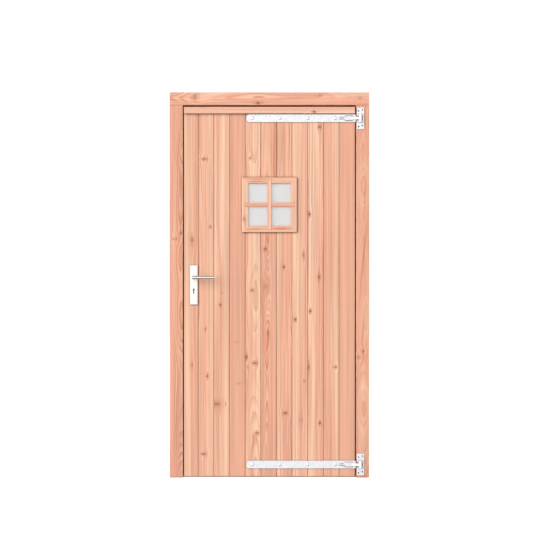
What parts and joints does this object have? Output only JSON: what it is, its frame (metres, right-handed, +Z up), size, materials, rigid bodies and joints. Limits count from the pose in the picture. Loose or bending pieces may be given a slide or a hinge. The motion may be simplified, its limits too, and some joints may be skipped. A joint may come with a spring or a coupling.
{
  "type": "plank door with a window",
  "caption": "Timber plank door with a small barred window, hung on long strap hinges in its own frame, with lever handles.",
  "frame": {"origin": "on the outer side face of the hinge post, at floor level, halfway through the depth of the frame", "axes": "+Z up; the outside of the door faces -Y; +X points out of the hinge post's outer side, so the door lies along -X and opens towards -Y"},
  "size_m": [1.086, 0.185, 2.098],
  "materials": {
    "frame_timber": "planed, unpainted",
    "door_boards": "planed, unpainted",
    "trim_timber": "planed, unpainted",
    "leaf_framing": "planed, unpainted",
    "window_glass": "clear",
    "galvanised_steel": "zinc plated",
    "handle_metal": "satin",
    "lock_steel": "satin"
  },
  "bodies": {
    "door_frame": {"hinge_post": "frame_timber", "latch_post": "frame_timber", "head_rail": "frame_timber", "hinge_stop": "frame_timber", "latch_stop": "frame_timber", "head_stop": "frame_timber", "sill_stop": "frame_timber", "upper_hinge_plate": "galvanised_steel", "lower_hinge_plate": "galvanised_steel", "upper_hinge_pin": "galvanised_steel", "lower_hinge_pin": "galvanised_steel", "strike_plate": "lock_steel"},
    "leaf": {"latch_board_1": "door_boards", "latch_board_2": "door_boards", "latch_board_3": "door_boards", "latch_board_4": "door_boards", "window_board_1": "door_boards", "window_board_2": "door_boards", "window_board_3": "door_boards", "hinge_board_4": "door_boards", "hinge_board_3": "door_boards", "hinge_board_2": "door_boards", "hinge_board_1": "door_boards", "drip_strip": "trim_timber", "hinge_stile": "leaf_framing", "lock_stile": "leaf_framing", "top_rail": "leaf_framing", "lock_rail": "leaf_framing", "bottom_rail": "leaf_framing", "brace": "leaf_framing", "upper_strap": "galvanised_steel", "lower_strap": "galvanised_steel", "window_trim_sides": "trim_timber", "window_trim_rails": "trim_timber", "inside_trim_sides": "trim_timber", "inside_trim_rails": "trim_timber", "window_pane": "window_glass", "upright_bar": "trim_timber", "cross_bar": "trim_timber", "outer_lock_plate": "handle_metal", "inner_lock_plate": "handle_metal", "mortise_lock": "lock_steel"},
    "lever": {"outer_lever": "handle_metal", "inner_lever": "handle_metal", "spindle": "lock_steel"}
  },
  "joints": [
    {"name": "door_swing", "type": "hinge", "parent": "door_frame", "child": "leaf", "pos_m": [-0.0475, -0.0555, 1], "axis": [0, 0, 1], "range_deg": [0, 170]},
    {"name": "lever_turn", "type": "hinge", "parent": "leaf", "child": "lever", "pos_m": [-0.955, -0.045, 1.09], "axis": [0, 1, 0], "range_deg": [0, 40], "stiffness_Nm_per_rad": 1.2, "springref_deg": -34.38}
  ]
}
